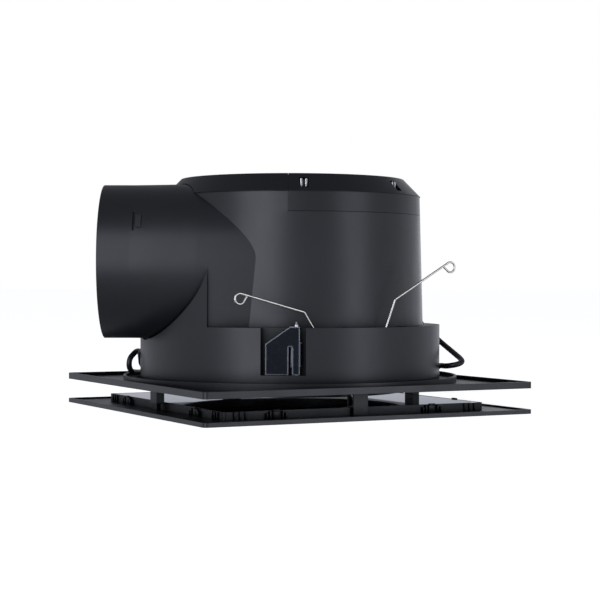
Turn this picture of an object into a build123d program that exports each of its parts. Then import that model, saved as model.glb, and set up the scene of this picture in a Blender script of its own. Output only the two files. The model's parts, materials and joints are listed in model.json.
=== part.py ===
"""Ceiling extractor fan with a tangential side duct, a clamped collar and a sprung cover panel.

Frame: +Z up into the ceiling void, z = 0 on the ceiling plane at the collar flange's lip,
the origin on the collar's axis, the duct leaving towards -X.
"""
from build123d import *
import math
import os

# ---- driving dimensions, millimetres and degrees ----
plate_side = 340.0            # frame plate and cover panel, square
plate_turn = 27.8             # the plates' turn about Z against the duct
sheet = 2.5                   # moulded wall thickness
frame_top, frame_floor, frame_bottom = -3.0, -6.7, -9.2
panel_rim_top, panel_floor, panel_bottom = -29.1, -30.7, -33.2
wall_outer, wall_top = 136.5, -23.5           # box walls on the cover panel
inlet_hole_r = 118.0
screw_angles = (72.8, 162.8, 252.8, 342.8)    # flange screws, towards the plates' corners
inlet_screw_r = 122.0
inlet_lip_r, inlet_lip_foot = 108.2, -16.0    # the inlet ring's lip hangs below the frame plate

collar_r, collar_top = 147.0, 49.3
flange_r, trough_floor = 163.5, -4.2
raised_end_x = -75.0          # the raised part of the collar stops here on the near side

drum_x = 2.0                  # the drum's axis stands this far from the collar's axis
drum_foot, drum_top = -4.2, 173.7
drum_r_at_50, drum_taper = 128.6, 0.0272      # radius at z = 50 and its fall per millimetre
cap_top, cap_top_r = 190.8, 109.5
cap_foot_r = 126.0
skirt_foot, skirt_depth = 155.5, 1.2
seam_x, seam_half = -1.3, 0.12
snap_angles = (-84.5, -34.0, 34.0, 84.5)      # the service cap's snap windows

duct_r, duct_y, duct_z, duct_end = 73.0, -48.5, 109.8, -176.5
duct_root_x = -146.0          # the spigot widens from here
hood_r, hood_x = 74.2, -85.0  # to the hood's half width here
hood_reach, hood_floor = 144.2, 34.0
hood_draft = 0.02             # the upright sides stand this far inside the hood's round
collar_cut_y = -4.6           # the collar's cut-out runs on this far towards its near end
hump_x = -70.0                # the duct's top ends here inside the cap
hood_end_x = -20.0            # the duct's near side runs into the drum before this
flap_x, flap_lift, flap_r = -139.0, 36.5, 68.0

clamp_angles = (-92.0, 28.0, 148.0)
pocket_half, pocket_back, pocket_floor = 20.5, 132.0, 6.5
clamp_axis_u, clamp_axis_t = 139.5, 11.5
screw_r, screw_tip = 2.0, 54.7

spring_sides = {"a": plate_turn - 90.0, "b": plate_turn + 90.0}
post_sides = {"a": plate_turn, "b": plate_turn + 180.0}
post_u = 137.5                # inner face of each spacer post
spring_u, coil_z, coil_r, wire = 134.4, -13.4, 4.3, 1.9
leg_offset = 2.2              # the legs' planes stand this far either side of the coil's middle
leg_angles = {"left": 34.9, "right": 23.1}    # from the vertical, with the panel closed
leg_lengths = {"left": 93.6, "right": 95.7}   # from the coil's middle to the bend
leg_bends = {"left": 40.2, "right": 36.4}
leg_tips = {"left": 65.5, "right": 67.5}      # length beyond the bend
eye_r = 4.7

shaft_r, motor_r, motor_top = 4.0, 46.0, 168.0
impeller_r, impeller_foot, impeller_back = 95.0, 30.0, 92.0
blades = 9
throat_r = 66.0

box_angle, box_z0, box_z1 = 62.0, 60.0, 108.0  # terminal box on the back of the drum
box_u0, box_u1, box_half = 131.5, 152.0, 22.0
gland_u, gland_z = 142.0, 82.0

cord_d = 5.4
trough_r, trough_z = 155.0, -1.2
plug_centre, plug_turn = (54.0, 186.0), -8.0
plug_half_length, plug_half_width, plug_height = 18.0, 17.0, 22.0
plug_relief = 22.0

MIN = (Align.CENTER, Align.CENTER, Align.MIN)
parts = {}


# ---- shape helpers ----
def disc(radius, z0, z1, x=0.0, y=0.0):
    """Upright cylinder from z0 to z1."""
    return Pos(x, y, z0) * Cylinder(radius, z1 - z0, align=MIN)


def ring(outer, inner, z0, z1, x=0.0, y=0.0):
    """Upright ring from z0 to z1."""
    return disc(outer, z0, z1, x, y) - disc(inner, z0 - 1, z1 + 1, x, y)


def block(x0, x1, y0, y1, z0, z1):
    """Box between two corners."""
    return Pos((x0 + x1) / 2, (y0 + y1) / 2, (z0 + z1) / 2) * Box(x1 - x0, y1 - y0, z1 - z0)


def rod(start, end, radius):
    """Round bar between two points."""
    a, b = Vector(*start), Vector(*end)
    plane = Plane(origin=a, z_dir=b - a)
    return extrude(plane * Circle(radius), (b - a).length)


def duct_bar(radius, x0, x1):
    """Cylinder on the duct's axis."""
    return rod((x0, duct_y, duct_z), (x1, duct_y, duct_z), radius)


def drum_r(z):
    """Outer radius of the tapered drum at a height."""
    return drum_r_at_50 - (z - 50.0) * drum_taper


def drum_solid(z0, z1, inset=0.0):
    """Tapered solid of the drum, inset from its outer face."""
    low, high = drum_r(z0) - inset, drum_r(z1) - inset
    return Pos(drum_x, 0, z0) * Cone(low, high, z1 - z0, align=MIN)


def turned(angle, shape):
    """Turn a shape about Z, so that its local +X points along the angle."""
    return Rot(0, 0, angle) * shape


def square(side, z0, z1, corner=4.0):
    """Square slab with rounded corners, on the plates' turn."""
    sketch = RectangleRounded(side, side, corner)
    return turned(plate_turn, Pos(0, 0, z0) * extrude(sketch, z1 - z0))


def save(name, shape):
    """Keep one sub-part under its node name."""
    shape.label = name
    parts[name] = shape


# ---- housing: drum, hood and spigot ----
def hood_foot(inset):
    """Upright lower half of the inverted U, from inside the drum to the raised collar."""
    side = hood_r - inset - hood_draft
    upright = block(-150, 0, duct_y - side, duct_y + side, hood_floor + inset, duct_z)
    return upright & disc(hood_reach - inset, hood_floor - 1, drum_top)


def housing():
    shell = drum_solid(drum_foot, drum_top)
    shell += duct_bar(duct_r, duct_end, duct_root_x)
    root = Plane(origin=(duct_root_x, duct_y, duct_z), z_dir=(1, 0, 0))
    shell += root * Cone(duct_r, hood_r, hood_x - duct_root_x, align=MIN)
    shell += duct_bar(hood_r, hood_x, hump_x)
    shell += duct_bar(hood_r, hump_x - 5, hood_end_x) & block(-90, 0, -140, 60, 0, drum_top)
    shell += hood_foot(0)
    # upstand that locates both cap halves, and hooks behind the snap windows
    shell += ring(104.0, 101.5, drum_top, 180.0, drum_x)
    for angle in snap_angles:
        hook = turned(angle, block(112.0, 116.0, -2.4, 2.4, drum_top - 0.5, 184.5))
        shell += Pos(drum_x, 0, 0) * hook
    shell -= drum_solid(drum_foot - 1, drum_top - sheet, sheet)
    shell -= duct_bar(duct_r - sheet, duct_end - 1, hump_x - sheet)
    shell -= duct_bar(duct_r - sheet, hump_x - 10, 0) & block(-100, 0, -140, 60, 0, drum_top - sheet)
    shell -= hood_foot(sheet)
    # step that the service cap's skirt covers
    step = drum_solid(skirt_foot - 0.2, drum_top)
    step -= drum_solid(skirt_foot - 1, drum_top + 1, skirt_depth + 0.2)
    shell -= step & block(seam_x, 140, -140, 140, skirt_foot - 1, drum_top + 1)
    # slits for the flap's pivot clips, and screw seats for the motor
    for side in (-1, 1):
        shell -= clip_shape(side, grow=0.15)
    for angle in (45, 135, 225, 315):
        shell -= turned_hole(angle, 38.0, 1.7, drum_top - 5, drum_top + 1)
    # pass-through for the supply wires into the terminal box
    shell -= turned(box_angle, rod((120, 8, 92), (135, 8, 92), 5.0))
    return shell


def turned_hole(angle, radius, hole_r, z0, z1):
    """Upright hole on a circle round the drum's axis."""
    x = drum_x + radius * math.cos(math.radians(angle))
    y = radius * math.sin(math.radians(angle))
    return disc(hole_r, z0, z1, x, y)


def cap_shell():
    """Whole chamfered cap as a turned shell."""
    profile = make_face(Polyline(
        (0, 0, cap_top), (cap_top_r, 0, cap_top), (cap_foot_r, 0, drum_top + 0.2),
        (cap_foot_r - 3.4, 0, drum_top + 0.2), (cap_top_r - 1.2, 0, cap_top - sheet),
        (0, 0, cap_top - sheet), close=True))
    return Pos(drum_x, 0, 0) * revolve(profile, Axis.Z)


def caps():
    whole = cap_shell()
    far = 140
    outlet_side = whole & block(-far, seam_x - seam_half, -far, far, skirt_foot, cap_top + 1)
    service_side = whole & block(seam_x + seam_half, far, -far, far, skirt_foot, cap_top + 1)
    skirt = drum_solid(skirt_foot, drum_top + 0.3) - drum_solid(skirt_foot - 1, drum_top + 1, skirt_depth)
    service_side += skirt & block(seam_x + seam_half, far, -far, far, skirt_foot - 1, drum_top + 1)
    for angle in snap_angles:
        window = turned(angle, block(108.0, 124.0, -4.2, 4.2, 177.0, 186.6))
        service_side -= Pos(drum_x, 0, 0) * window
    outlet_side -= duct_bar(hood_r + 0.4, -200, hump_x + 0.6)
    save("outlet_side_cap", outlet_side)
    save("service_cap", service_side)


# ---- collar with clamp pockets and spring slots ----
def collar():
    inner = collar_r - sheet
    wall = ring(collar_r, inner, frame_floor, collar_top)
    flange = ring(flange_r, inner, frame_floor, trough_floor)
    lip = ring(flange_r, flange_r - 2.3, frame_floor, 0.0)
    shelf = disc(inner + 0.5, collar_top - sheet, collar_top)
    shelf -= drum_solid(collar_top - 5, collar_top + 5, -0.4)
    shelf -= block(-160, 0, duct_y - hood_r - 0.4, duct_y + hood_r + 0.4, 40, 60)
    for angle in spring_sides.values():
        for sign in (-1, 1):
            slot = turned(angle, block(110, 160, *sorted((sign * 17.5, sign * 52)), 40, 60))
            shelf -= slot & disc(inner - 0.1, 40, 60)
    raised = ring(collar_r, inner, collar_top - 1, duct_z)
    raised &= block(-160, raised_end_x, -130, duct_y + duct_r + 4.9, 40, 120)
    whole = wall + flange + lip + shelf + raised
    for angle in clamp_angles:
        pocket = block(pocket_back, 146.0, -pocket_half - 2, pocket_half + 2, pocket_floor - 2, collar_top)
        well = block(pocket_back + 2, 160, -pocket_half, pocket_half, pocket_floor, collar_top + 1)
        whole += turned(angle, pocket) & disc(collar_r - 0.5, 0, 60)
        whole -= turned(angle, well)
        whole -= turned(angle, disc(screw_r + 0.2, 0, 10, clamp_axis_u, clamp_axis_t))
    for angle in screw_angles:
        whole -= turned(angle, disc(1.3, -8, 0, 155.0))
    cut = duct_bar(hood_r + 0.4, -200, raised_end_x + 5)
    return whole - cut - Pos(0, collar_cut_y, 0) * duct_bar(duct_r + 0.4, -200, raised_end_x + 5)


# ---- frame plate ----
def frame_plate():
    plate = square(plate_side, frame_bottom, frame_top)
    plate -= square(plate_side - 2 * sheet, frame_floor, frame_top + 1, 2.0)
    plate -= disc(inlet_hole_r, frame_bottom - 1, frame_top)
    for angle in spring_sides.values():
        plate -= turned(angle, block(129.5, 141.5, -20, 17, frame_bottom - 1, frame_top))
    for angle in post_sides.values():
        plate -= turned(angle, block(post_u + 2.2, post_u + 7.8, -4.8, 4.8, frame_bottom - 1, frame_top))
    for angle in clamp_angles:
        plate -= turned(angle, disc(4.5, frame_bottom - 1, frame_top, clamp_axis_u, clamp_axis_t))
    for angle in screw_angles:
        plate -= turned(angle, disc(3.4, frame_bottom - 1, frame_bottom + 1.4, 155.0))
        plate -= turned(angle, disc(1.7, frame_bottom - 1, frame_top, 155.0))
    return plate


def flange_screw():
    head = disc(3.2, frame_bottom, frame_bottom + 1.3, 155.0)
    return head + disc(1.3, frame_bottom + 1, trough_floor, 155.0)


# ---- inlet ring ----
def inlet_ring():
    rim = drum_r(drum_foot) - 0.6
    profile = make_face(Polyline(
        (rim, 0, frame_floor + 0.1), (rim, 0, drum_foot - 0.1), (throat_r + 16, 0, drum_foot - 0.1),
        (throat_r + 6, 0, 2.0), (throat_r + 2.4, 0, 12.0), (throat_r + 2.4, 0, 26.0), (throat_r, 0, 26.0),
        (throat_r, 0, 11.0), (throat_r + 4, 0, 0.0), (throat_r + 15, 0, frame_floor + 0.1), close=True))
    shape = Pos(drum_x, 0, 0) * revolve(profile, Axis.Z)
    shape += ring(inlet_lip_r, inlet_lip_r - sheet, inlet_lip_foot, drum_foot - 0.5, drum_x)
    for k in range(4):
        shape -= turned_hole(45 + 90 * k, inlet_screw_r, 1.6, -10, 0)
    return shape


def inlet_screw(angle):
    x = drum_x + inlet_screw_r * math.cos(math.radians(angle))
    y = inlet_screw_r * math.sin(math.radians(angle))
    return disc(1.6, frame_floor + 0.1, 4.0, x, y)


def screw_boss(angle):
    """Boss inside the drum's wall for an inlet ring screw."""
    x = drum_x + inlet_screw_r * math.cos(math.radians(angle))
    y = inlet_screw_r * math.sin(math.radians(angle))
    return ring(6.8, 1.6, drum_foot, 14.0, x, y)


# ---- motor ----
def motor():
    mid = 118.0
    top_shell = disc(motor_r, mid, motor_top, drum_x) - disc(motor_r - 2, mid - 1, motor_top - 3, drum_x)
    top_shell += disc(motor_r + 4, motor_top - 2, drum_top - sheet - 0.1, drum_x)
    top_shell -= disc(9.2, mid, motor_top + 10, drum_x)
    top_shell += ring(13.0, 9.2, motor_top - 12, motor_top - 1, drum_x)
    bottom_shell = disc(motor_r, 100.0, mid - 0.1, drum_x) - disc(motor_r - 2, 102.5, mid, drum_x)
    bottom_shell += ring(13.0, 9.2, 100.0, 108.0, drum_x)
    bottom_shell -= disc(9.2, 99, 110, drum_x)
    for angle in (45, 135, 225, 315):
        top_shell -= turned_hole(angle, 38.0, 1.7, motor_top - 4, motor_top + 10)
    stator = disc(motor_r - 2.3, 120.0, 146.0, drum_x) - disc(24.5, 119, 147, drum_x)
    for k in range(12):
        stator -= turned_hole(30 * k + 15, 32.0, 3.4, 119, 147)
    windings = ring(40.0, 27.0, 146.2, 153.5, drum_x) + ring(40.0, 27.0, 111.0, 119.8, drum_x)
    for k in range(12):
        windings += turned_hole(30 * k + 15, 32.0, 3.1, 118, 148)
    save("motor_top_shell", top_shell)
    save("motor_bottom_shell", bottom_shell)
    save("stator_core", stator)
    save("stator_windings", windings)
    save("upper_bearing", ring(9.1, shaft_r + 0.05, motor_top - 12, motor_top - 5, drum_x))
    save("lower_bearing", ring(9.1, shaft_r + 0.05, 100.5, 107.5, drum_x))
    screws = [turned_hole(a, 38.0, 1.6, motor_top - 3.0, drum_top) for a in (45, 135, 225, 315)]
    heads = [turned_hole(a, 38.0, 3.2, drum_top, drum_top + 2.2) for a in (45, 135, 225, 315)]
    save("motor_screws", Compound(children=[s + h for s, h in zip(screws, heads)]))


def impeller():
    hub = disc(11.0, 72.0, impeller_back + 3, drum_x)
    back = disc(impeller_r, impeller_back, impeller_back + 2.2, drum_x)
    lip = throat_r + 3.4
    shroud = make_face(Polyline(
        (lip, 0, impeller_foot - 11), (lip + 1.2, 0, impeller_foot - 11), (lip + 2.2, 0, impeller_foot - 1.5),
        (impeller_r, 0, 42.2), (impeller_r, 0, 44.2), (lip + 1.2, 0, impeller_foot + 0.4), close=True))
    under = make_face(Polyline(
        (lip + 1.6, 0, 5), (100, 0, 5), (100, 0, 46), (impeller_r, 0, 43.2),
        (lip + 1.6, 0, impeller_foot - 0.6), close=True))
    beneath = Pos(drum_x, 0, 0) * revolve(under, Axis.Z)
    wheel = hub + back + Pos(drum_x, 0, 0) * revolve(shroud, Axis.Z)
    for k in range(blades):
        wheel += blade(360.0 / blades * k) - beneath
    wheel -= disc(shaft_r, 60, 110, drum_x)
    return wheel


def blade(start):
    """One backward curved blade, an arc in plan from the hub side to the rim."""
    inner, outer, sweep = 52.0, impeller_r - 0.5, 48.0
    points = []
    for share in (0.0, 0.5, 1.0):
        radius = inner + (outer - inner) * share
        angle = math.radians(start + sweep * share)
        points.append((drum_x + radius * math.cos(angle), radius * math.sin(angle)))
    spine = ThreePointArc(*points)
    strip = trace(spine, 2.0)
    solid = Pos(0, 0, impeller_foot + 2) * extrude(strip, impeller_back - impeller_foot - 1.5)
    return solid & disc(impeller_r - 0.2, 30, 100, drum_x)


def rotor():
    save("motor_shaft", disc(shaft_r, 66.0, motor_top - 4.0, drum_x))
    core = ring(23.8, shaft_r, 119.0, 147.0, drum_x)
    save("rotor_core", core)
    save("impeller", impeller())
    nut = Pos(drum_x, 0, 66.5) * extrude(RegularPolygon(8.0, 6), 5.3)
    save("impeller_nut", nut - disc(shaft_r, 60, 80, drum_x))


# ---- back-draught flap ----
def clip_shape(side, grow=0.0):
    """Pivot clip that snaps into the spigot's wall at one end of the flap's pin."""
    y = duct_y + side * math.sqrt(duct_r ** 2 - flap_lift ** 2)
    z = duct_z + flap_lift
    wide, tall = 2.6 + grow, 5.4 + grow
    shape = block(flap_x - wide, flap_x + wide, y - 8 - grow, y + 8 + grow, z - tall, z + tall)
    if grow:
        slit_half = 8.7 + grow
        shape += block(flap_x - 5.2 - grow, flap_x - 4.0 + grow, y - 11, y + 11, z - slit_half, z + slit_half)
    outer = duct_r + (0.9 if not grow else 4.0)
    inner = duct_r - sheet - 0.4
    if grow:
        inner -= 3
    return shape & (duct_bar(outer, flap_x - 12, flap_x + 12) - duct_bar(inner, flap_x - 13, flap_x + 13))


def damper():
    z_axis = duct_z + flap_lift
    leaf = duct_bar(flap_r, flap_x - 0.9, flap_x + 0.9)
    half = math.sqrt(flap_r ** 2 - flap_lift ** 2) - 2.0
    hub = rod((flap_x, duct_y - half, z_axis), (flap_x, duct_y + half, z_axis), 3.4)
    leaf = (leaf + hub) - rod((flap_x, duct_y - 80, z_axis), (flap_x, duct_y + 80, z_axis), 1.5)
    for k in (-1, 1):
        rib_y = duct_y + k * 26
        leaf += block(flap_x - 2.6, flap_x - 0.8, rib_y - 1, rib_y + 1, duct_z - 52, z_axis - 6)
    reach = math.sqrt(duct_r ** 2 - flap_lift ** 2) - 1.2
    save("damper_flap", leaf)
    save("flap_pin", rod((flap_x, duct_y - reach, z_axis), (flap_x, duct_y + reach, z_axis), 1.5))
    seat_end = reach + 0.2
    pivot = rod((flap_x, duct_y - seat_end, z_axis), (flap_x, duct_y + seat_end, z_axis), 1.58)
    save("flap_pivot_clips", Compound(children=[clip_shape(side) - pivot for side in (-1, 1)]))
    seat = duct_bar(duct_r - sheet, flap_x + 1.6, flap_x + 4.0) - duct_bar(64.5, flap_x, flap_x + 6)
    seat &= block(flap_x, flap_x + 6, -140, 40, 0, z_axis - 9)
    save("flap_seat", seat)


# ---- cover panel ----
def cover_panel():
    panel = square(plate_side, panel_bottom, panel_rim_top)
    panel -= square(plate_side - 2 * sheet, panel_floor, panel_rim_top + 1, 2.0)
    walls = square(2 * wall_outer, panel_floor - 0.5, wall_top, 3.0)
    walls -= square(2 * (wall_outer - sheet), panel_floor - 1, wall_top + 1, 1.0)
    for angle in spring_sides.values():
        walls -= turned(angle, block(120, 150, -8.5, 8.5, panel_floor, wall_top + 1))
    return panel + walls


def panel_baffle():
    plate = square(2 * (wall_outer - sheet) - 1.0, wall_top - 2.3, wall_top - 0.1, 2.0)
    for angle in spring_sides.values():
        plate -= turned(angle, block(127.0, 150, -9.5, 9.5, -40, 0))
    feet = [turned(plate_turn + 45 + 90 * k, disc(5.0, panel_floor, wall_top - 2.2, 120.0)) for k in range(4)]
    for foot in feet:
        plate += foot
    return plate


def spring_bracket(angle):
    """Two cheeks on a foot, with the spring's pin across them."""
    foot = block(128.4, 140.4, -7.5, 7.5, panel_floor, -22.0)
    cheeks = block(128.4, 130.6, -7.5, 7.5, -22.5, frame_bottom - 0.4)
    cheeks += block(138.2, 140.4, -7.5, 7.5, -22.5, frame_bottom - 0.4)
    hole = rod((120, 0, coil_z), (139.6, 0, coil_z), 1.55)
    return turned(angle, (foot + cheeks) - hole)


def spacer_post(angle):
    """Peg up from the panel, block that sets the air gap, stem in the frame plate's slot."""
    peg = block(post_u + 2.0, post_u + 6.0, -3.5, 3.5, panel_floor, wall_top)
    body = block(post_u, post_u + 8.0, -7.5, 7.5, wall_top - 1.0, frame_bottom - 0.4)
    stem = block(post_u + 3.0, post_u + 7.0, -4.0, 4.0, frame_bottom - 1, frame_floor - 0.2)
    return turned(angle, peg + body + stem)


def wire_loop(angle, offset):
    """One closed turn of the spring's coil round its pin."""
    hoop = Torus(coil_r, wire / 2)
    return turned(angle, Pos(spring_u + offset, 0, coil_z) * Rot(0, 90, 0) * hoop)


def spring_leg(angle, side):
    """Straight lower length, bend, upper length and hooked eye, in one upright plane."""
    sign = -1 if side == "left" else 1
    offset = -leg_offset if side == "left" else leg_offset
    lean = math.radians(leg_angles[side])
    upper = math.radians(leg_angles[side] + leg_bends[side])
    start = (coil_r * math.sin(lean), coil_r * math.cos(lean))
    bend = (leg_lengths[side] * math.sin(lean), leg_lengths[side] * math.cos(lean))
    tip_length = leg_tips[side]
    tip = (bend[0] + tip_length * math.sin(upper), bend[1] + tip_length * math.cos(upper))
    normal = (math.cos(upper), -math.sin(upper))
    far_eye = []
    for turn in (90, 180, 270):
        swing = math.radians(turn)
        ahead, down = eye_r * math.sin(swing), eye_r * (1 - math.cos(swing))
        far_eye.append((
            tip[0] + ahead * math.sin(upper) + down * normal[0],
            tip[1] + ahead * math.cos(upper) + down * normal[1]))

    def place(point):
        return Vector(spring_u + offset, sign * point[0], coil_z + point[1])

    straight = FilletPolyline(place(start), place(bend), place(tip), radius=3.0)
    eye = ThreePointArc(place(tip), place(far_eye[0]), place(far_eye[1]))
    hook = ThreePointArc(place(far_eye[1]), place((
        (far_eye[1][0] + far_eye[2][0]) / 2 - 0.207 * eye_r * math.sin(upper) + 0.207 * eye_r * normal[0],
        (far_eye[1][1] + far_eye[2][1]) / 2 - 0.207 * eye_r * math.cos(upper) + 0.207 * eye_r * normal[1])),
        place(far_eye[2]))
    path = Wire([*straight.edges(), *eye.edges(), *hook.edges()])
    section = Plane(origin=place(start), z_dir=path % 0) * Circle(wire / 2)
    leg = sweep(section, path=path)
    return turned(angle, leg) + wire_loop(angle, offset)


# ---- ceiling clamps ----
def clamp(angle, number):
    u, t = clamp_axis_u, clamp_axis_t
    face = make_face(Polyline(
        (143.4, -16.2, pocket_floor + 0.4), (143.4, 14.8, pocket_floor + 0.4), (143.4, 14.8, 50.4),
        (143.4, 5.9, 50.4), (143.4, -16.2, 34.9), close=True))
    plate = extrude(face, 2.4, dir=(1, 0, 0))
    dog = plate + disc(5.4, 14.0, 36.0, u, t) + block(u, 144.0, t - 2.0, t + 2.0, 14.0, 36.0)
    dog -= disc(3.5, 0, 60, u, t)
    dog -= block(142.0, 147.0, 4.5, 7.9, pocket_floor, 32.3)
    nut = disc(3.4, 16.0, 34.0, u, t) - disc(screw_r + 0.05, 0, 60, u, t)
    screw = disc(screw_r, pocket_floor - 4.5, screw_tip - 3, u, t)
    screw += Pos(u, t, screw_tip - 3) * Cone(screw_r, 0.5, 3, align=MIN)
    head = disc(3.6, pocket_floor - 5.0, pocket_floor - 2.2, u, t)
    head -= block(u - 4, u + 4, t - 0.5, t + 0.5, pocket_floor - 6, pocket_floor - 3.8)
    head -= block(u - 0.5, u + 0.5, t - 4, t + 4, pocket_floor - 6, pocket_floor - 3.8)
    screw = (screw & disc(9, pocket_floor - 3.0, 80, u, t)) + head
    save(f"clamp_dog_{number}", turned(angle, dog))
    save(f"clamp_nut_{number}", turned(angle, nut))
    save(f"clamp_screw_{number}", turned(angle, screw))


# ---- terminal box, gland and cord ----
def terminal_box():
    z0, z1 = box_z0, box_z1
    shell = block(box_u0, box_u1 - 2, -box_half, box_half, z0, z1)
    shell -= block(box_u0 + 2, box_u1, -box_half + 2, box_half - 2, z0 + 2, z1 - 2)
    for t in (-box_half + 4.0, box_half - 4.0):
        shell += block(box_u0 + 1, box_u1 - 2, t - 3, t + 3, z0 + 1, z0 + 8)
        shell -= rod((140, t, z0 + 5), (160, t, z0 + 5), 1.4)
    shell -= rod((gland_u, -30, gland_z), (gland_u, -15, gland_z), 5.5)
    shell -= rod((120, 8, 92), (135, 8, 92), 5.0)
    feet = block(126, box_u0 + 0.5, -box_half + 1, box_half - 1, z0 + 1, z1 - 1)
    feet -= rod((110, 8, 92), (135, 8, 92), 5.0)
    shell = turned(box_angle, shell + feet) - drum_solid(40, 120, -0.05)
    save("terminal_box", shell)
    lid = block(box_u1 - 1.9, box_u1, -box_half, box_half, z0, z1)
    for t in (-box_half + 4.0, box_half - 4.0):
        lid -= rod((140, t, z0 + 5), (160, t, z0 + 5), 1.6)
    save("terminal_lid", turned(box_angle, lid))
    screws = []
    for t in (-box_half + 4.0, box_half - 4.0):
        pin = rod((144, t, z0 + 5), (box_u1, t, z0 + 5), 1.35)
        head = rod((box_u1, t, z0 + 5), (box_u1 + 1.5, t, z0 + 5), 2.8)
        screws.append(turned(box_angle, pin + head))
    save("lid_screws", Compound(children=screws))
    strip = block(134, 145, -9, 15, 68, 80)
    for k in range(3):
        strip -= rod((140, -4 + 8 * k, 74), (150, -4 + 8 * k, 74), 2.4)
    save("terminal_block", turned(box_angle, strip))
    save("run_capacitor", turned(box_angle, rod((141, -8, 98), (141, 18, 98), 6.0)))


def gland():
    u, z = gland_u, gland_z
    face = -box_half
    thread = rod((u, face + 7, z), (u, face - 1, z), 5.4)
    hexagon = extrude(Plane(origin=(u, face, z), z_dir=(0, -1, 0)) * RegularPolygon(9.0, 6), 6.0)
    collar_part = rod((u, face - 6, z), (u, face - 12, z), 7.0)
    bore = rod((u, face + 20, z), (u, face - 30, z), cord_d / 2)
    save("cable_gland", turned(box_angle, (thread + hexagon + collar_part) - bore))
    nut = extrude(Plane(origin=(u, face + 5.8, z), z_dir=(0, -1, 0)) * RegularPolygon(7.6, 6), 3.6)
    save("gland_locknut", turned(box_angle, nut - rod((u, face + 9, z), (u, face - 9, z), 5.4)))
    boot = Plane(origin=(u, face - 12, z), z_dir=(0, -1, 0)) * Cone(5.6, 3.5, 24, align=MIN)
    save("cord_boot", turned(box_angle, boot - bore - rod((u, face - 20, z), (u, face - 60, z), cord_d / 2)))


def local_point(angle, u, t, z):
    """Point given on a turned pair of axes, in the part's frame."""
    a = math.radians(angle)
    return (u * math.cos(a) - t * math.sin(a), u * math.sin(a) + t * math.cos(a), z)


def plug_point(along, across, z):
    """Point on the plug's own axes."""
    a = math.radians(plug_turn)
    return (plug_centre[0] + along * math.cos(a) - across * math.sin(a),
            plug_centre[1] + along * math.sin(a) + across * math.cos(a), z)


def cord_route():
    """Points of the cord's route, from inside the gland to inside the plug."""
    z_plug = frame_floor + 0.2 + plug_height / 2
    start = local_point(box_angle, gland_u, -box_half - 12, gland_z)
    clear = local_point(box_angle, gland_u, -box_half - 37, gland_z)
    # down beside the collar and forward along it
    points = [start, clear, (130.0, 83.5, 73.5), (131.8, 75.0, 52.0), (139.5, 64.0, 42.5)]
    points += [(148.2, 50.5, 34.5), (155.0, 37.5, 28.0), (161.0, 23.5, 22.6)]
    # loop at the right, then over the lip and down into the trough
    points += [(165.4, 10.5, 18.4), (168.4, 0.5, 15.6), (169.6, -9.5, 12.8)]
    points += [(165.0, -15.3, 10.8), (158.0, -15.8, 9.4), (152.8, -10.6, 8.6), (150.9, -1.0, 8.4)]
    points += [(150.3, 12.0, 8.0), (148.7, 27.0, 6.6)]
    for k in range(9):
        a = math.radians(19.0 + 16.3 * k)
        points.append((trough_r * math.cos(a), trough_r * math.sin(a), trough_z))
    # loop at the left, back along the tray, over the lip at the tray's narrow place, to the plug
    points += [(-147.8, 49.0, -1.0), (-153.6, 27.0, -0.2), (-155.6, 12.0, 0.9), (-156.8, -1.0, 2.4)]
    points += [(-158.4, -6.8, 7.8), (-157.6, -6.6, 15.4), (-153.6, -1.0, 20.4), (-152.4, 11.0, 21.8)]
    points += [(-150.8, 27.0, 21.2), (-152.5, 50.0, 13.5), (-154.5, 80.0, 3.0)]
    points += [(-143.0, 109.0, -2.6), (-121.0, 127.0, 2.8), (-93.0, 141.0, 6.2), (-64.0, 157.0, 6.2)]
    points += [(-34.0, 180.0, 5.2), (-8.0, 195.0, 4.4)]
    points += [plug_point(-plug_half_length - plug_relief, 0, z_plug)]
    points += [plug_point(-plug_half_length, 0, z_plug)]
    return points


def cord():
    points = cord_route()
    radii = []
    for before, here, after in zip(points, points[1:], points[2:]):
        first = Vector(*here) - Vector(*before)
        second = Vector(*after) - Vector(*here)
        half = math.radians(first.get_angle(second)) / 2
        radii.append(0.45 * min(first.length, second.length) / math.tan(half))
    path = FilletPolyline(*[Vector(*p) for p in points], radius=radii)
    section = Plane(origin=points[0], z_dir=path % 0) * Circle(cord_d / 2)
    tube = sweep(section, path=path)
    print("cord radii", [round(r, 1) for r in radii])
    print("cord length", round(path.length, 1), "volume ratio",
          round(tube.volume / (math.pi * cord_d ** 2 / 4 * path.length), 4))
    save("supply_cord", tube)


def plug():
    z0 = frame_floor + 0.2
    z_mid = z0 + plug_height / 2
    place = Pos(plug_centre[0], plug_centre[1], 0) * Rot(0, 0, plug_turn)
    body = block(-plug_half_length, plug_half_length, -plug_half_width, plug_half_width, z0, z0 + plug_height)
    body = fillet(body.edges().filter_by(Axis.Z), 7.0)
    body = chamfer(body.faces().sort_by(Axis.Z)[-1].edges(), 2.0)
    relief_end = Plane(origin=(-plug_half_length, 0, z_mid), z_dir=(-1, 0, 0))
    relief = relief_end * Cone(6.0, 3.6, plug_relief, align=MIN)
    bore = rod((-60, 0, z_mid), (-plug_half_length, 0, z_mid), cord_d / 2)
    pins = []
    for across, lift in ((-7.0, -3.5), (7.0, -3.5), (0.0, 5.5)):
        z = z_mid + lift
        near, tip = plug_half_length - 6, plug_half_length + 16
        pins.append(block(near, tip, across - 2.6, across + 2.6, z - 0.8, z + 0.8))
    for pin in pins:
        body -= pin
    save("plug_body", place * body)
    save("plug_boot", place * (relief - bore))
    save("plug_pins", Compound(children=[place * pin for pin in pins]))


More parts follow.
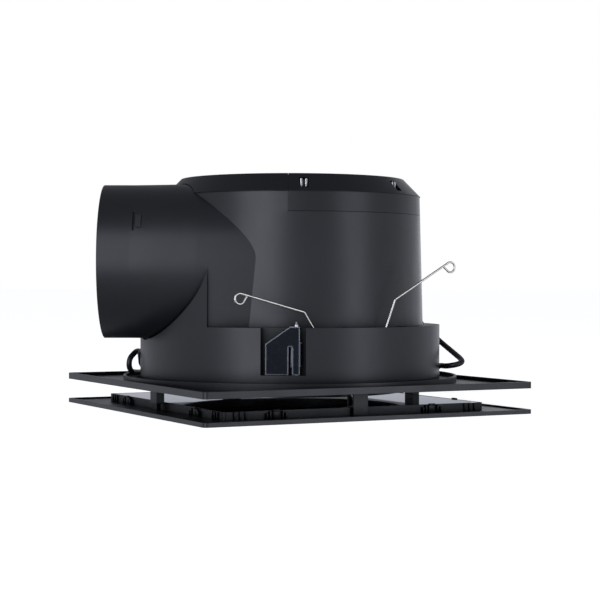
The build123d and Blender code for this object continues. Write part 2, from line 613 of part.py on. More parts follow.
# ---- build ----
def build():
    body = housing()
    for k in range(4):
        inside = drum_solid(drum_foot, 20, 1.0)
        body += screw_boss(45 + 90 * k) & inside
    save("fan_housing", body)
    caps()
    save("mounting_collar", collar())
    save("frame_plate", frame_plate())
    save("inlet_ring", inlet_ring())
    save("inlet_screws", Compound(children=[inlet_screw(45 + 90 * k) for k in range(4)]))
    save("flange_screws", Compound(children=[turned(a, flange_screw()) for a in screw_angles]))
    motor()
    rotor()
    damper()
    save("cover_panel", cover_panel())
    save("panel_baffle", panel_baffle())
    for key, angle in spring_sides.items():
        save(f"spring_bracket_{key}", spring_bracket(angle))
        pin = rod((128.0, 0, coil_z), (139.4, 0, coil_z), 1.5)
        save(f"spring_pin_{key}", turned(angle, pin))
        save(f"spring_coil_{key}", wire_loop(angle, 0))
        for side in leg_angles:
            save(f"spring_leg_{key}_{side}", spring_leg(angle, side))
    for key, angle in post_sides.items():
        save(f"spacer_post_{key}", spacer_post(angle))
    for number, angle in enumerate(clamp_angles, 1):
        clamp(angle, number)
    terminal_box()
    gland()
    cord()
    plug()


build()
os.makedirs("parts", exist_ok=True)
for name, shape in parts.items():
    export_step(shape, f"parts/{name}.step")
print(len(parts), "nodes written")
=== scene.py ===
import json
import math
import bmesh
import bpy
from mathutils import Euler, Matrix, Vector


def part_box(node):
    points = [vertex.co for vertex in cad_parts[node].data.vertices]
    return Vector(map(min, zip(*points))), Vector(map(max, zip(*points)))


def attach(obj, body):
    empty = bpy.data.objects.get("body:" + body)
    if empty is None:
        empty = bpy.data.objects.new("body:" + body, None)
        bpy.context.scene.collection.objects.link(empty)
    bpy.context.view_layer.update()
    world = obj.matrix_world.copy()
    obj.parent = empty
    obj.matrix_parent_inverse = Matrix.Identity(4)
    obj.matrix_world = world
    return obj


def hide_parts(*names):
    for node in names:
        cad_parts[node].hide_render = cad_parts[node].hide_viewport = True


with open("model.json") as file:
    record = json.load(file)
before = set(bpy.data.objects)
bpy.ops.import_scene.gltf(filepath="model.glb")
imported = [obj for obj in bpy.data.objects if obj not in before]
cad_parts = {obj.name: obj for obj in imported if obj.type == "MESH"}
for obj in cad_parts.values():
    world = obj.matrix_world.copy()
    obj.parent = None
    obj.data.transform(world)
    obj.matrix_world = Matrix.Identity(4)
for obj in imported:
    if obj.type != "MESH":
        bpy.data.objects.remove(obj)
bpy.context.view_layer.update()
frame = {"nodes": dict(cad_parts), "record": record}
nodes = frame["nodes"]

MM = 0.001
FLOOR_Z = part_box("cover_panel")[0].z
PLATE_TURN = 27.8    # degrees about Z that the two square plates are turned
SHARP_ANGLE = 34.0   # degrees over which an edge of a piece stays sharp


# ---- geometry helpers ----
def local(angle, u, t, z):
    """Point in metres from millimetres on axes turned about Z: u outward, t to its left, z up."""
    a = math.radians(angle)
    return Vector((u * math.cos(a) - t * math.sin(a), u * math.sin(a) + t * math.cos(a), z)) * MM


def mark_sharp(mesh):
    """Smooth shading, with edges over the sharp angle kept sharp."""
    bm = bmesh.new()
    bm.from_mesh(mesh)
    limit = math.radians(SHARP_ANGLE)
    for face in bm.faces:
        face.smooth = True
    for edge in bm.edges:
        edge.smooth = len(edge.link_faces) == 2 and edge.calc_face_angle(0.0) < limit
    bm.to_mesh(mesh)
    bm.free()


def piece(name, bm, body, slot_name, stands_for=()):
    """A mesh piece that rides on a body, takes a material slot and may stand for CAD nodes."""
    mesh = bpy.data.meshes.new(name)
    bmesh.ops.recalc_face_normals(bm, faces=bm.faces)
    bm.to_mesh(mesh)
    bm.free()
    mark_sharp(mesh)
    obj = bpy.data.objects.new(name, mesh)
    bpy.context.scene.collection.objects.link(obj)
    mesh.materials.append(materials[slot_name])
    if stands_for:
        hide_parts(*stands_for)
    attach(obj, body)
    return obj


def block(bm, size, place, soften, segments):
    """Box of a size in millimetres, with rounded edges, put in place by a matrix."""
    made = bmesh.ops.create_cube(bm, size=1.0)["verts"]
    bmesh.ops.scale(bm, vec=Vector(size) * MM, verts=made)
    edges = list({e for v in made for e in v.link_edges})
    made = bmesh.ops.bevel(
        bm, geom=edges, offset=soften * MM, segments=segments, profile=0.5, affect="EDGES")["verts"]
    linked = set(made)
    for v in made:
        linked.update(w for e in v.link_edges for w in e.verts)
    bmesh.ops.transform(bm, matrix=place, verts=list(linked))


def turned_shape(bm, profile, place, segments):
    """Surface turned about local Z from (radius, height) pairs in millimetres."""
    rings = []
    for radius, height in profile:
        ring = []
        for k in range(segments):
            a = 2 * math.pi * k / segments
            ring.append(bm.verts.new(place @ Vector((
                radius * math.cos(a) * MM, radius * math.sin(a) * MM, height * MM))))
        rings.append(ring)
    for low, high in zip(rings, rings[1:]):
        for k in range(segments):
            n = (k + 1) % segments
            bm.faces.new((low[k], low[n], high[n], high[k]))


def frame_on(origin, along):
    """Matrix with its local Z along a level direction and its local Y up."""
    z = along.normalized()
    x = Vector((0, 0, 1)).cross(z).normalized()
    y = z.cross(x)
    m = Matrix((x, y, z)).transposed().to_4x4()
    m.translation = origin
    return m


def wire_curve(name, points, radius, body, slot_name, stands_for):
    """Round wire along a fine chain of points."""
    curve = bpy.data.curves.new(name, "CURVE")
    curve.dimensions = "3D"
    curve.bevel_depth = radius
    curve.bevel_resolution = 4
    curve.use_fill_caps = True
    spline = curve.splines.new("POLY")
    spline.points.add(len(points) - 1)
    for target, point in zip(spline.points, points):
        target.co = (*point, 1.0)
    spline.use_smooth = True
    obj = bpy.data.objects.new(name, curve)
    bpy.context.scene.collection.objects.link(obj)
    curve.materials.append(materials[slot_name])
    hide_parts(*stands_for)
    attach(obj, body)


# ---- node helpers ----
class Shader:
    """One material's node tree, with short calls for the nodes that the materials share."""

    def __init__(self, name):
        self.material = bpy.data.materials.new(name)
        self.material.use_nodes = True
        self.tree = self.material.node_tree
        self.bsdf = self.tree.nodes["Principled BSDF"]
        self.place = self.add("ShaderNodeTexCoord").outputs["Object"]

    def add(self, kind, values=None, **settings):
        node = self.tree.nodes.new(kind)
        for key, value in settings.items():
            setattr(node, key, value)
        for key, value in (values or {}).items():
            self.put(value, node.inputs[key])
        return node

    def put(self, value, socket):
        if isinstance(value, bpy.types.NodeSocket):
            self.tree.links.new(value, socket)
        else:
            socket.default_value = value

    def set(self, **values):
        for key, value in values.items():
            self.put(value, self.bsdf.inputs[key.replace("_", " ")])

    def noise(self, scale, detail=3.0, rough=0.5, stretch=(1, 1, 1)):
        spot = self.add("ShaderNodeMapping", {"Vector": self.place, "Scale": stretch}).outputs["Vector"]
        return self.add("ShaderNodeTexNoise", {
            "Vector": spot, "Scale": scale, "Detail": detail, "Roughness": rough}).outputs["Fac"]

    def span(self, value, low, high, out_low=0.0, out_high=1.0):
        return self.add("ShaderNodeMapRange", {
            "Value": value, "From Min": low, "From Max": high,
            "To Min": out_low, "To Max": out_high}).outputs["Result"]

    def sum(self, a, b, operation="ADD"):
        return self.add("ShaderNodeMath", {0: a, 1: b}, operation=operation).outputs[0]

    def blend(self, factor, a, b):
        node = self.add("ShaderNodeMix", data_type="RGBA")
        self.put(factor, node.inputs[0])
        self.put(a, node.inputs[6])
        self.put(b, node.inputs[7])
        return node.outputs[2]

    def rounded(self, radius):
        """Normal rounded over edges."""
        return self.add("ShaderNodeBevel", {"Radius": radius}, samples=4).outputs["Normal"]

    def edges(self, radius):
        """1 along edges, 0 on flat stretches."""
        soft = self.rounded(radius)
        true = self.add("ShaderNodeNewGeometry").outputs["Normal"]
        dot = self.add("ShaderNodeVectorMath", {0: soft, 1: true}, operation="DOT_PRODUCT").outputs["Value"]
        return self.span(dot, 0.98, 0.8)

    def unshaded_share(self, reach):
        """1 on open surfaces, falling to 0 deep in narrow places, within a reach in metres; the mask for
        painted shade.
        """
        shade = self.add("ShaderNodeAmbientOcclusion", {"Distance": reach}, samples=6).outputs["AO"]
        return self.span(shade, 0.35, 0.85)

    def bump(self, height, strength, distance, normal):
        """Normal pushed by a height, on top of another normal; distance in metres."""
        return self.add("ShaderNodeBump", {
            "Height": height, "Strength": strength, "Distance": distance,
            "Normal": normal}).outputs["Normal"]


def rgba(colour, factor=1.0):
    return (*[min(1.0, c * factor) for c in colour], 1.0)


def plastic(name, colour, rough, grain=2600.0, grain_depth=0.000018):
    """Moulded plastic: cloudy colour, fine spark-eroded grain, rubbed edges and faint handling marks, with
    painted shade in narrow places.
    """
    edge_lightening, edge, specular = 0.35, 0.0006, 0.5
    rubbed_colour = (0.07, 0.073, 0.082)
    # how far the painted shade reaches into narrow places, in metres
    painted_shade_reach = 0.02
    s = Shader(name)
    cloud = s.noise(14.0, 4.0, 0.55)
    speck = s.noise(900.0, 2.0, 0.6)
    base = s.blend(s.span(cloud, 0.3, 0.7), rgba(colour, 0.88), rgba(colour, 1.14))
    base = s.blend(s.span(speck, 0.62, 0.8, 0.0, 0.35), base, rgba(colour, 1.5))
    rubbed = s.sum(s.edges(edge), s.span(s.noise(60.0, 4.0, 0.6), 0.35, 0.7), "MULTIPLY")
    base = s.blend(s.sum(rubbed, edge_lightening, "MULTIPLY"), base, rgba(rubbed_colour))
    smear = s.noise(30.0, 5.0, 0.65, (1.0, 1.0, 0.35))
    roughness = s.span(smear, 0.3, 0.7, rough - 0.045, rough + 0.045)
    roughness = s.sum(roughness, s.sum(rubbed, -0.08, "MULTIPLY"))
    fine = s.noise(grain, 2.0, 0.55)
    normal = s.bump(fine, 0.55, grain_depth, s.rounded(edge))
    # painted shade: deep in narrow places the colour falls to 0.3 of its own and the specular to 0.3 of its
    # level, whatever the light
    unshaded_share = s.unshaded_share(painted_shade_reach)
    base = s.blend(unshaded_share, rgba(colour, 0.3), base)
    shine = s.span(unshaded_share, 0.0, 1.0, specular * 0.3, specular)
    s.set(Base_Color=base, Roughness=roughness, Normal=normal, Specular_IOR_Level=shine)
    return s.material


def gloss(name, colour, rough, edge=0.0005, edge_lightening=0.15, edge_highlight_colour=(0.3, 0.32, 0.36), peel=0.00003, specular=0.5):
    """Glossy moulded or coated surface: faint orange peel, dust, fine hairline marks and a painted
    highlight along the edges.
    """
    s = Shader(name)
    cloud = s.noise(22.0, 3.0, 0.5)
    base = s.blend(s.span(cloud, 0.3, 0.7), rgba(colour, 0.85), rgba(colour, 1.2))
    dust = s.span(s.noise(420.0, 3.0, 0.7), 0.66, 0.8, 0.0, 0.25)
    base = s.blend(dust, base, rgba((0.12, 0.12, 0.13)))
    # painted highlight: edges lightened towards a pale colour, fully on the clamp coating and faintly on
    # the other glosses
    base = s.blend(s.sum(s.edges(edge), edge_lightening, "MULTIPLY"), base, rgba(edge_highlight_colour))
    hair = s.noise(180.0, 4.0, 0.6, (1.0, 6.0, 1.0))
    roughness = s.span(hair, 0.35, 0.7, rough * 0.8, rough * 1.5)
    normal = s.bump(s.noise(260.0, 2.0, 0.4), 0.25, peel, s.rounded(edge))
    s.set(Base_Color=base, Roughness=roughness, Normal=normal, Specular_IOR_Level=specular)
    return s.material


def metal(name, colour, rough, stretch=(1, 1, 14), grain=500.0, tint=(0.5, 0.5, 0.5)):
    """Bare or plated metal: drawn or rolled lines, cloudy plating and a few dull spots."""
    edge = 0.0003
    s = Shader(name)
    cloud = s.noise(80.0, 4.0, 0.6)
    base = s.blend(s.span(cloud, 0.3, 0.7), rgba(colour, 0.86), rgba(colour, 1.08))
    spots = s.span(s.noise(340.0, 3.0, 0.7), 0.6, 0.78, 0.0, 0.4)
    base = s.blend(spots, base, rgba(tint))
    lines = s.noise(grain, 3.0, 0.6, stretch)
    roughness = s.span(lines, 0.3, 0.7, rough * 0.75, rough * 1.3)
    roughness = s.sum(roughness, s.sum(spots, 0.2, "MULTIPLY"))
    normal = s.bump(lines, 0.3, 0.00002, s.rounded(edge))
    s.set(Base_Color=base, Roughness=roughness, Normal=normal, Metallic=1.0)
    return s.material


def soft_sheath(name, colour, rough):
    """PVC or rubber: matt skin with a fine draw texture, dust and scuffs."""
    s = Shader(name)
    cloud = s.noise(45.0, 4.0, 0.6)
    base = s.blend(s.span(cloud, 0.3, 0.7), rgba(colour, 0.8), rgba(colour, 1.25))
    dust = s.span(s.noise(700.0, 3.0, 0.7), 0.6, 0.78, 0.0, 0.3)
    base = s.blend(dust, base, rgba((0.1, 0.1, 0.105)))
    scuff = s.noise(150.0, 4.0, 0.65)
    roughness = s.span(scuff, 0.3, 0.7, rough - 0.07, rough + 0.09)
    fine = s.noise(1500.0, 3.0, 0.6)
    normal = s.bump(fine, 0.5, 0.00003, s.rounded(0.0004))
    s.set(Base_Color=base, Roughness=roughness, Normal=normal)
    return s.material


def laminations(name, colour):
    """Stacked electrical sheet: 0.5 mm layers with dull varnish between them."""
    layers_per_metre = 2000.0
    s = Shader(name)
    height = s.add("ShaderNodeSeparateXYZ", {"Vector": s.place}).outputs["Z"]
    layers = s.sum(s.sum(height, layers_per_metre * math.pi * 2, "MULTIPLY"), 0.0, "SINE")
    base = s.blend(s.span(layers, -0.2, 0.9), rgba(colour, 0.5), rgba(colour, 1.1))
    base = s.blend(s.span(s.noise(120.0, 4.0, 0.6), 0.5, 0.75, 0.0, 0.5), base, rgba((0.22, 0.13, 0.08)))
    normal = s.bump(layers, 0.5, 0.00006, s.rounded(0.0003))
    roughness = s.span(s.noise(260.0), 0.3, 0.7, 0.32, 0.5)
    s.set(Base_Color=base, Roughness=roughness, Normal=normal, Metallic=0.85)
    return s.material


def winding(name, colour):
    """Enamelled copper turns, a fine bundle of round wires."""
    s = Shader(name)
    strands = s.noise(700.0, 2.0, 0.5, (1.0, 1.0, 7.0))
    base = s.blend(s.span(strands, 0.35, 0.65), rgba(colour, 0.45), rgba(colour, 1.25))
    normal = s.bump(strands, 0.7, 0.0002, s.rounded(0.0005))
    roughness = s.span(s.noise(90.0), 0.3, 0.7, 0.22, 0.36)
    s.set(Base_Color=base, Roughness=roughness, Normal=normal, Metallic=0.9)
    return s.material


CHARCOAL = (0.0135, 0.0142, 0.0165)
materials = {
    "housing_plastic": plastic("housing_plastic", CHARCOAL, 0.36),
    "cap_plastic": plastic("cap_plastic", (0.0085, 0.009, 0.0105), 0.36),
    "collar_plastic": plastic("collar_plastic", CHARCOAL, 0.37),
    "plate_plastic": plastic(
        "plate_plastic", (0.008, 0.0084, 0.0098), 0.34, grain=2100.0, grain_depth=0.000026),
    "baffle_gloss": gloss("baffle_gloss", (0.005, 0.005, 0.006), 0.025, edge_lightening=0.05, peel=0.000002),
    # the clamp coating's edges are lightened fully to a pale grey, a painted highlight
    "clamp_coating": gloss(
        "clamp_coating", (0.0055, 0.0075, 0.012), 0.22, 0.0022, 1.0, (0.62, 0.65, 0.72), specular=0.12),
    "spring_wire": metal("spring_wire", (0.78, 0.74, 0.67), 0.24, (1, 1, 1), 900.0),
    "bright_steel": metal("bright_steel", (0.7, 0.7, 0.71), 0.28),
    "dark_steel": metal("dark_steel", (0.07, 0.07, 0.075), 0.4, tint=(0.16, 0.15, 0.14)),
    "motor_steel": metal("motor_steel", (0.5, 0.51, 0.53), 0.34, (1, 1, 8), 420.0),
    "lamination_steel": laminations("lamination_steel", (0.36, 0.36, 0.38)),
    "copper_enamel": winding("copper_enamel", (0.56, 0.2, 0.07)),
    "impeller_plastic": plastic("impeller_plastic", (0.012, 0.012, 0.014), 0.42),
    "flap_plastic": plastic("flap_plastic", (0.014, 0.0145, 0.017), 0.42),
    "clip_plastic": plastic("clip_plastic", (0.026, 0.027, 0.03), 0.3),
    "seal_rubber": soft_sheath("seal_rubber", (0.014, 0.014, 0.014), 0.6),
    "terminal_plastic": plastic("terminal_plastic", (0.62, 0.6, 0.55), 0.4),
    "capacitor_case": gloss("capacitor_case", (0.03, 0.04, 0.07), 0.25),
    "gland_nylon": plastic("gland_nylon", (0.02, 0.02, 0.021), 0.42, grain=3200.0),
    "cord_pvc": soft_sheath("cord_pvc", (0.011, 0.011, 0.013), 0.4),
    "plug_plastic": plastic("plug_plastic", (0.013, 0.013, 0.014), 0.3, grain=1800.0),
    "pin_brass": metal("pin_brass", (0.72, 0.55, 0.28), 0.26, (1, 9, 1), 400.0, tint=(0.4, 0.28, 0.14)),
}
slot_of = {part["node"]: part["material_slot"] for part in frame["record"]["subparts"]}


def dress_frame():
    """Every carried-over CAD node takes its slot's material."""
    for name, obj in nodes.items():
        for holder in obj.material_slots:
            holder.material = materials[slot_of[name]]


# ---- camera ----
CAMERA_PLACE = (9.78, -1595.9, 89.3)   # millimetres
CAMERA_DOWN, CAMERA_ROLL = 0.5867, 0.1225   # degrees
CAMERA_LENS, CAMERA_SENSOR = 97.0, 36.0


def make_camera():
    """View along +Y from 1.6 m, a little above the middle, pitched and rolled by under a degree."""
    data = bpy.data.cameras.new("camera")
    data.lens = CAMERA_LENS
    data.sensor_width = CAMERA_SENSOR
    camera = bpy.data.objects.new("camera", data)
    bpy.context.scene.collection.objects.link(camera)
    pitch, roll = math.radians(90.0 - CAMERA_DOWN), math.radians(CAMERA_ROLL)
    turn = Euler((pitch, 0.0, 0.0)).to_matrix() @ Matrix.Rotation(roll, 3, "Z")
    camera.matrix_world = Matrix.Translation(Vector(CAMERA_PLACE) * MM) @ turn.to_4x4()
    bpy.context.scene.camera = camera


# ---- cord, its boots and the plug ----
BOX_ANGLE, GLAND_U, GLAND_FACE, GLAND_Z = 62.0, 142.0, -22.0, 82.0
GLAND_NOSE, GLAND_BOOT = 12.0, 24.0   # how far the gland stands out, and its boot's length
CORD_D = 5.4
TROUGH_R, TROUGH_Z = 155.0, -1.2   # the cord's run in the collar's trough
TROUGH_START, TROUGH_STEP, TROUGH_POINTS = 19.0, 16.3, 9   # degrees, degrees and count
PLUG_CENTRE, PLUG_TURN, PLUG_HALF, PLUG_RELIEF, PLUG_Z = (54.0, 186.0), -8.0, 18.0, 22.0, 4.5


def plug_point(along, across, z):
    """Point in metres on the plug's own axes."""
    return Vector((PLUG_CENTRE[0], PLUG_CENTRE[1], 0)) * MM + local(PLUG_TURN, along, across, z)


def cord_points():
    """The route's points, from the gland's mouth to the plug, in metres."""
    start = local(BOX_ANGLE, GLAND_U, GLAND_FACE - GLAND_NOSE, GLAND_Z)
    clear = local(BOX_ANGLE, GLAND_U, GLAND_FACE - GLAND_NOSE - GLAND_BOOT - 1, GLAND_Z)
    right = [(130.0, 83.5, 73.5), (131.8, 75.0, 52.0), (139.5, 64.0, 42.5), (148.2, 50.5, 34.5),
             (155.0, 37.5, 28.0), (161.0, 23.5, 22.6), (165.4, 10.5, 18.4), (168.4, 0.5, 15.6),
             (169.6, -9.5, 12.8), (165.0, -15.3, 10.8), (158.0, -15.8, 9.4), (152.8, -10.6, 8.6),
             (150.9, -1.0, 8.4), (150.3, 12.0, 8.0), (148.7, 27.0, 6.6)]
    trough = []
    for k in range(TROUGH_POINTS):
        a = math.radians(TROUGH_START + TROUGH_STEP * k)
        trough.append((TROUGH_R * math.cos(a), TROUGH_R * math.sin(a), TROUGH_Z))
    left = [(-147.8, 49.0, -1.0), (-153.6, 27.0, -0.2), (-155.6, 12.0, 0.9), (-156.8, -1.0, 2.4),
            (-158.4, -6.8, 7.8), (-157.6, -6.6, 15.4), (-153.6, -1.0, 20.4), (-152.4, 11.0, 21.8),
            (-150.8, 27.0, 21.2), (-152.5, 50.0, 13.5), (-154.5, 80.0, 3.0), (-143.0, 109.0, -2.6),
            (-121.0, 127.0, 2.8), (-93.0, 141.0, 6.2), (-64.0, 157.0, 6.2), (-34.0, 180.0, 5.2),
            (-8.0, 195.0, 4.4)]
    middle = [Vector(p) * MM for p in right + trough + left]
    ends = [plug_point(-PLUG_HALF - PLUG_RELIEF, 0, PLUG_Z), plug_point(-PLUG_HALF, 0, PLUG_Z)]
    return [start, clear, *middle, *ends]


def make_cord():
    curve = bpy.data.curves.new("supply_flex", "CURVE")
    curve.dimensions = "3D"
    curve.resolution_u = 24
    curve.bevel_depth = CORD_D / 2 * MM
    curve.bevel_resolution = 6
    curve.use_fill_caps = True
    spline = curve.splines.new("NURBS")
    route = cord_points()
    spline.points.add(len(route) - 1)
    for target, point in zip(spline.points, route):
        target.co = (*point, 1.0)
    spline.order_u = 3
    spline.use_endpoint_u = True
    flex = bpy.data.objects.new("supply_flex", curve)
    bpy.context.scene.collection.objects.link(flex)
    curve.materials.append(materials["cord_pvc"])
    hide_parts("supply_cord")
    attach(flex, "housing")
    return flex


def ribbed_sleeve(bm, origin, along, length, root, tip, ribs):
    """Tapered sleeve with moulded rings, closed round the cord's own radius."""
    inner = CORD_D / 2 + 0.05
    profile = [(inner, 0.0), (root, 0.0), (root, 2.0)]
    pitch = (length - 3.0) / ribs
    for k in range(ribs):
        share = (k + 0.5) / ribs
        outer = root + (tip - root) * share
        low = 2.0 + pitch * k
        profile += [(outer - 0.55, low + 0.25), (outer - 0.55, low + pitch * 0.3)]
        profile += [(outer, low + pitch * 0.42), (outer, low + pitch * 0.95)]
    profile += [(tip - 0.1, length - 0.6), (tip - 0.5, length), (inner, length)]
    place = frame_on(origin, along)
    turned_shape(bm, profile + [profile[0]], place, 40)


def make_boots():
    """Strain reliefs at the gland and behind the plug."""
    bm = bmesh.new()
    root = local(BOX_ANGLE, GLAND_U, GLAND_FACE - GLAND_NOSE, GLAND_Z)
    tip = local(BOX_ANGLE, GLAND_U, GLAND_FACE - GLAND_NOSE - GLAND_BOOT, GLAND_Z)
    ribbed_sleeve(bm, root, tip - root, GLAND_BOOT, 5.6, 3.5, 6)
    gland_boot = piece("gland_boot", bm, "housing", "cord_pvc", ("cord_boot",))
    bm = bmesh.new()
    root = plug_point(-PLUG_HALF, 0, PLUG_Z)
    tip = plug_point(-PLUG_HALF - PLUG_RELIEF, 0, PLUG_Z)
    ribbed_sleeve(bm, root, tip - root, PLUG_RELIEF, 6.0, 3.6, 6)
    plug_sleeve = piece("plug_sleeve", bm, "housing", "cord_pvc", ("plug_boot",))
    return gland_boot, plug_sleeve


def make_plug():
    """Moulded plug: waisted body with finger ridges and a raised pin face."""
    centre = plug_point(0, 0, PLUG_Z)
    place = Matrix.Translation(centre) @ Matrix.Rotation(math.radians(PLUG_TURN), 4, "Z")
    body_size, body_x = (31.0, 32.4, 20.6), -2.0
    face_size, face_x = (5.4, 33.6, 21.6), 15.0
    ridges, first_ridge, ridge_pitch, ridge_side, ridge_tall = 6, -10.5, 3.6, 15.9, 11.5
    bm = bmesh.new()
    block(bm, body_size, place @ Matrix.Translation((body_x * MM, 0, 0)), 5.2, 6)
    block(bm, face_size, place @ Matrix.Translation((face_x * MM, 0, 0)), 1.6, 4)
    for side in (-1, 1):
        for k in range(ridges):
            spot = Vector((first_ridge + ridge_pitch * k, side * ridge_side, 0)) * MM
            tall = ridge_tall - 0.5 * abs(k - (ridges - 1) / 2)
            block(bm, (1.7, 2.0, tall), place @ Matrix.Translation(spot), 0.7, 3)
    return piece("plug_moulding", bm, "housing", "plug_plastic", ("plug_body",))


# ---- springs ----
SPRING_U, COIL_Z, COIL_R, WIRE_R = 134.4, -13.4, 4.3, 0.95
COIL_SHIFT = 1.1   # half of one turn's rise along the pin
LEG_OFFSET, EYE_R, EYE_TAIL, BEND_R, EYE_SWEEP = 2.2, 4.7, 5.5, 3.0, 250.0
SPRINGS = {"a": PLATE_TURN - 90.0, "b": PLATE_TURN + 90.0}
LEG_LEAN = {"left": 34.9, "right": 23.1}
LEG_LENGTH = {"left": 93.6, "right": 95.7}
LEG_BEND = {"left": 40.2, "right": 36.4}
LEG_TIP = {"left": 65.5, "right": 67.5}


def leg_plan(side):
    """One leg in its own plane, as (t, z, u offset) in millimetres from the coil's middle."""
    lean = math.radians(LEG_LEAN[side])
    upper = lean + math.radians(LEG_BEND[side])
    bend = Vector((math.sin(lean), math.cos(lean))) * LEG_LENGTH[side]
    tip = bend + LEG_TIP[side] * Vector((math.sin(upper), math.cos(upper)))
    # the wire leaves the coil on a tangent that runs to the bend
    reach = math.acos(COIL_R / LEG_LENGTH[side])
    away = math.atan2(bend.y, bend.x) - reach
    turn_points = []
    for k in range(33):
        a = away - 2 * math.pi * (1 - k / 32)
        share = k / 32
        turn_points.append((COIL_R * math.cos(a), COIL_R * math.sin(a), share))
    plan = [(x, z, COIL_SHIFT * (2 * share - 1)) for x, z, share in turn_points]
    leave = Vector(plan[-1][:2])
    into = (bend - leave).normalized()
    out = (tip - bend).normalized()
    half = into.angle(out) / 2
    cut = BEND_R * math.tan(half)
    first, last = bend - into * cut, bend + out * cut
    centre = first + Vector((into.y, -into.x)) * BEND_R
    sweep = into.angle(out)
    start = math.atan2((first - centre).y, (first - centre).x)
    for k in range(9):
        a = start - sweep * k / 8
        plan.append((centre.x + BEND_R * math.cos(a), centre.y + BEND_R * math.sin(a), COIL_SHIFT))
    # the eye curls under, back to the wire, and ends against it
    plan.append((last.x, last.y, COIL_SHIFT))
    normal = Vector((out.y, -out.x))
    eye = tip + normal * EYE_R
    start = math.atan2((tip - eye).y, (tip - eye).x)
    for k in range(37):
        a = start - math.radians(EYE_SWEEP) * k / 36
        plan.append((eye.x + EYE_R * math.cos(a), eye.y + EYE_R * math.sin(a), COIL_SHIFT + 0.2 * k / 36))
    end = Vector(plan[-1][:2])
    leave = start - math.radians(EYE_SWEEP)
    plan.append((end.x + math.sin(leave) * EYE_TAIL, end.y - math.cos(leave) * EYE_TAIL, 1.4))
    return plan


def make_springs():
    """Torsion springs: a middle turn on each pin, and one turn with each leg."""
    for key, angle in SPRINGS.items():
        middle = []
        for k in range(49):
            a = 2 * math.pi * k / 48
            middle.append(local(angle, SPRING_U + COIL_SHIFT * (2 * k / 48 - 1),
                                COIL_R * math.cos(a), COIL_Z + COIL_R * math.sin(a)))
        wire_curve(
            f"spring_turn_{key}", middle, WIRE_R * MM, "panel", "spring_wire", (f"spring_coil_{key}",))
        for side in LEG_LEAN:
            sign = -1 if side == "left" else 1
            points = [local(angle, SPRING_U + sign * (LEG_OFFSET + shift), sign * t, COIL_Z + z)
                      for t, z, shift in leg_plan(side)]
            node = f"spring_leg_{key}_{side}"
            wire_curve(f"spring_wire_{key}_{side}", points, WIRE_R * MM, node, "spring_wire", (node,))


# ---- catches on the cover panel's walls ----
def make_catches():
    """Moulded snap catches, ribs and corner slats on the outside of the cover panel's box walls."""
    wall, floor, top = 136.5, -30.7, -23.5
    catches = (-85.0, 78.0)
    slats = (-126.0, -120.5, -115.0, 115.0, 120.5, 126.0)
    bm = bmesh.new()
    tall = top - floor
    middle_z = (top + floor) / 2
    for quarter in range(4):
        turn = Matrix.Rotation(math.radians(PLATE_TURN + 90 * quarter), 4, "Z")

        def put(size, u, t, z):
            block(bm, size, turn @ Matrix.Translation(Vector((u, t, z)) * MM), 0.25, 2)

        for centre in catches:
            put((2.0, 6.4, tall + 0.6), wall + 0.7, centre, middle_z + 0.3)
            put((2.6, 6.4, 1.6), wall + 1.2, centre, top + 0.1)
            for side in (-1, 1):
                put((2.6, 1.2, tall - 0.6), wall + 1.0, centre + side * 6.3, middle_z - 0.2)
                put((3.2, 1.2, tall - 2.4), wall + 1.2, centre + side * 9.6, middle_z - 1.0)
        for t in slats:
            put((1.8, 1.1, tall - 0.4), wall + 0.6, t, middle_z - 0.1)
    piece("panel_catches", bm, "panel", "plate_plastic")


# ---- prongs in the service cap's windows ----
DRUM_X = 2.0   # the drum's axis stands this far off the frame's
WINDOW_ANGLES = (-84.5, -34.0, 34.0, 84.5)
PRONG_R, PRONG_Z, PRONG_SIDES = 116.2, 181.6, (-2.4, 2.2)


def make_prongs():
    """Two bright prongs of the snap clip behind each window of the service cap."""
    bm = bmesh.new()
    axis = Matrix.Translation(Vector((DRUM_X, 0.0, 0.0)) * MM)
    for angle in WINDOW_ANGLES:
        turn = axis @ Matrix.Rotation(math.radians(angle), 4, "Z")
        for side in PRONG_SIDES:
            place = turn @ Matrix.Translation(Vector((PRONG_R, side, PRONG_Z)) * MM)
            block(bm, (0.8, 1.8, 8.0), place, 0.3, 2)
    piece("cap_window_prongs", bm, "housing", "bright_steel")


# ---- stage and light ----
FLOOR_R, BACKDROP_R, FLOOR_GAP = 30.0, 29.0, 0.0002   # metres


def emitter(name, colour, strength):
    material = bpy.data.materials.new(name)
    material.use_nodes = True
    tree = material.node_tree
    tree.nodes.clear()
    glow = tree.nodes.new("ShaderNodeEmission")
    glow.inputs["Color"].default_value = (*colour, 1.0)
    glow.inputs["Strength"].default_value = strength
    out = tree.nodes.new("ShaderNodeOutputMaterial")
    tree.links.new(glow.outputs[0], out.inputs["Surface"])
    return material


def camera_only(obj):
    """The stage shows as a plain pale studio, without lighting the object from below."""
    obj.visible_diffuse = False
    obj.visible_glossy = False
    obj.visible_transmission = False
    obj.visible_shadow = False


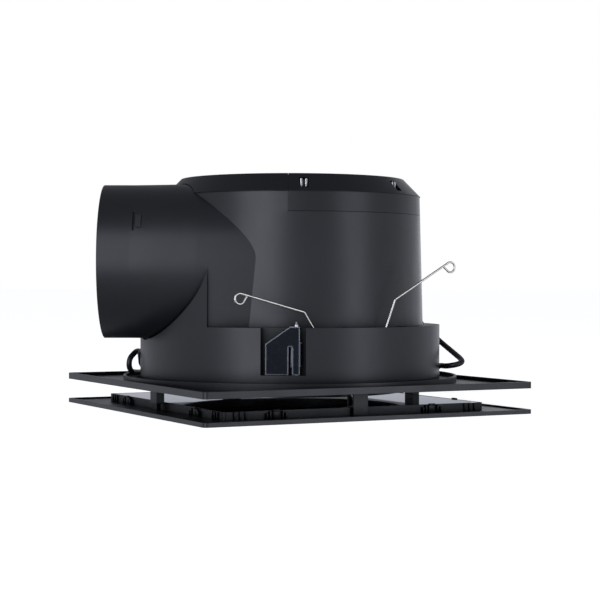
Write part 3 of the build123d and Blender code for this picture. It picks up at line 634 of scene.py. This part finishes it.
def make_stage():
    """Pale floor under the panel and a sphere round it, both seen by the camera only."""
    floor_material = bpy.data.materials.new("studio_floor")
    floor_material.use_nodes = True
    bsdf = floor_material.node_tree.nodes["Principled BSDF"]
    bsdf.inputs["Base Color"].default_value = (0.9, 0.9, 0.9, 1.0)
    bsdf.inputs["Roughness"].default_value = 0.9
    bsdf.inputs["Specular IOR Level"].default_value = 0.0
    bsdf.inputs["Emission Color"].default_value = (1.0, 1.0, 1.0, 1.0)
    bsdf.inputs["Emission Strength"].default_value = 0.82
    bm = bmesh.new()
    bmesh.ops.create_circle(bm, cap_ends=True, segments=96, radius=FLOOR_R)
    mesh = bpy.data.meshes.new("studio_floor")
    bm.to_mesh(mesh)
    bm.free()
    floor = bpy.data.objects.new("studio_floor", mesh)
    floor.location.z = FLOOR_Z - FLOOR_GAP
    mesh.materials.append(floor_material)
    bm = bmesh.new()
    bmesh.ops.create_uvsphere(bm, u_segments=48, v_segments=24, radius=BACKDROP_R)
    mesh = bpy.data.meshes.new("studio_backdrop")
    bm.to_mesh(mesh)
    bm.free()
    backdrop = bpy.data.objects.new("studio_backdrop", mesh)
    mesh.materials.append(emitter("studio_backdrop", (1.0, 1.0, 1.0), 1.0))
    for obj in (floor, backdrop):
        bpy.context.scene.collection.objects.link(obj)
        camera_only(obj)


def softbox(name, azimuth, elevation, distance, size, watts, colour=(1.0, 1.0, 1.0)):
    """Area light aimed at the fan's middle; azimuth 0 is the camera's side, positive to its right."""
    target = Vector((0.0, 0.0, 0.08))
    a, e = math.radians(azimuth), math.radians(elevation)
    away = Vector((math.sin(a) * math.cos(e), -math.cos(a) * math.cos(e), math.sin(e)))
    data = bpy.data.lights.new(name, "AREA")
    data.shape = "RECTANGLE"
    data.size, data.size_y = size
    data.energy = watts
    data.color = colour
    lamp = bpy.data.objects.new(name, data)
    bpy.context.scene.collection.objects.link(lamp)
    place = (-away).to_track_quat("-Z", "Y").to_matrix().to_4x4()
    place.translation = target + away * distance
    lamp.matrix_world = place
    lamp.visible_camera = False


def make_light():
    """World with a bright band along the horizon, and three softboxes."""
    world = bpy.data.worlds.new("studio")
    bpy.context.scene.world = world
    world.use_nodes = True
    tree = world.node_tree
    tree.nodes.clear()
    spot = tree.nodes.new("ShaderNodeTexCoord")
    split = tree.nodes.new("ShaderNodeSeparateXYZ")
    ramp = tree.nodes.new("ShaderNodeValToRGB")
    back = tree.nodes.new("ShaderNodeBackground")
    out = tree.nodes.new("ShaderNodeOutputWorld")
    shift = tree.nodes.new("ShaderNodeMapRange")
    shift.inputs["From Min"].default_value = -1.0
    tree.links.new(spot.outputs["Generated"], split.inputs[0])
    tree.links.new(split.outputs["Z"], shift.inputs["Value"])
    tree.links.new(shift.outputs["Result"], ramp.inputs["Fac"])
    tree.links.new(ramp.outputs["Color"], back.inputs["Color"])
    tree.links.new(back.outputs[0], out.inputs["Surface"])
    # from straight down to straight up; the bright band lies along the horizon
    levels = ((0.0, 0.22), (0.36, 0.42), (0.488, 0.46), (0.495, 0.95), (0.52, 0.95), (0.54, 0.46),
              (0.7, 0.22), (1.0, 0.13))
    while len(ramp.color_ramp.elements) < len(levels):
        ramp.color_ramp.elements.new(0.5)
    for stop, (position, level) in zip(ramp.color_ramp.elements, levels):
        stop.position = position
        stop.color = (level * 0.93, level * 0.97, level * 1.08, 1.0)
    cool = (0.9, 0.95, 1.08)
    softbox("left_box", -27.0, 15.0, 2.2, (1.4, 2.3), 21.5, cool)
    softbox("right_box", 54.0, 5.0, 2.2, (0.85, 1.7), 6.6, cool)
    softbox("rim_right", 158.0, 10.0, 2.2, (0.9, 1.5), 1.8)


# ---- build ----
dress_frame()
make_camera()
flex = make_cord()
gland_boot, plug_sleeve = make_boots()
plug_moulding = make_plug()
make_springs()
make_catches()
make_prongs()
make_stage()
make_light()
bpy.context.scene.view_settings.view_transform = "Standard"
